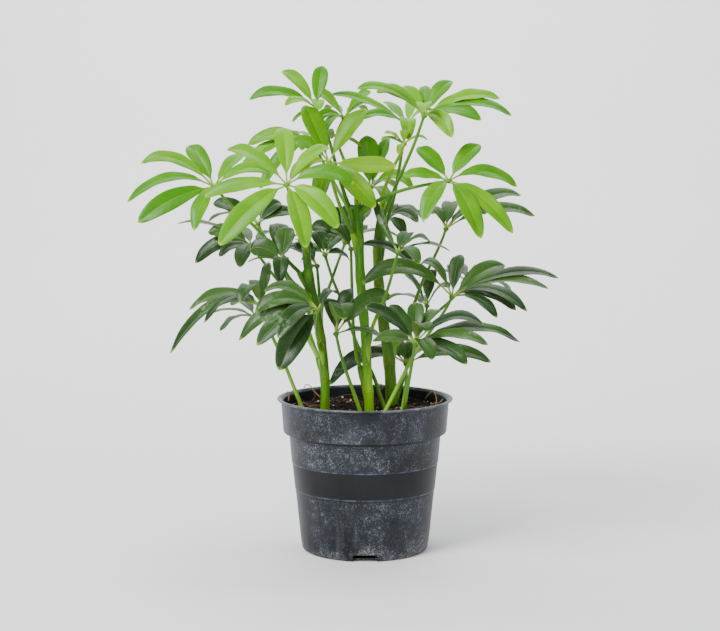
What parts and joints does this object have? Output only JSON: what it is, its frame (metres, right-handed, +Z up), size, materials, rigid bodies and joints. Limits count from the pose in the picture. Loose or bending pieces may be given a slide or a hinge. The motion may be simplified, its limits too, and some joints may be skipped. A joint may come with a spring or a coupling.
{
  "type": "potted umbrella plant",
  "caption": "Potted umbrella plant: compound leaves with whorled leaflets on upright green stems, in a round black nursery pot filled with soil.",
  "frame": {"origin": "middle of the pot's underside, on the surface that the pot stands on", "axes": "+Z up along the pot's axis, +X to the right in the front view, +Y away from the front viewer"},
  "size_m": [0.2854, 0.2225, 0.3291],
  "materials": {
    "pot": "moulded black plastic with pale limescale specks and streaks",
    "soil": null,
    "stem": "green young stem, satin, with ring scars",
    "leaf_young": null,
    "leaf_bright": null,
    "leaf_dark": null
  },
  "bodies": {
    "root": {"pot": "pot", "soil": "soil", "stem_left": "stem", "stem_middle": "stem", "stem_right": "stem", "leaf_far_left": "leaf_bright", "leaf_front_left": "leaf_bright", "leaf_upper_left": "leaf_bright", "leaf_top_left": "leaf_bright", "leaf_front_middle": "leaf_young", "leaf_top_middle": "leaf_bright", "leaf_top_behind": "leaf_bright", "leaf_top_right": "leaf_bright", "leaf_young": "leaf_young", "leaf_behind_middle": "leaf_bright", "leaf_front_right": "leaf_bright", "leaf_right_dark": "leaf_dark", "leaf_middle_right": "leaf_dark", "leaf_stem_top": "leaf_dark", "leaf_right_low": "leaf_dark", "leaf_right_inner": "leaf_dark", "leaf_lowest_right": "leaf_dark", "leaf_low_behind": "leaf_dark", "leaf_low_left_front": "leaf_dark", "leaf_low_middle": "leaf_dark", "leaf_left_inner": "leaf_dark", "leaf_left_middle": "leaf_dark", "leaf_lowest_left": "leaf_dark", "leaf_inner": "leaf_dark", "leaf_inner_small": "leaf_dark", "leaf_inner_behind": "leaf_dark", "leaf_inner_long": "leaf_dark", "leaf_left_behind": "leaf_dark", "leaf_back_right": "leaf_dark", "leaf_back_left": "leaf_dark"}
  },
  "joints": []
}
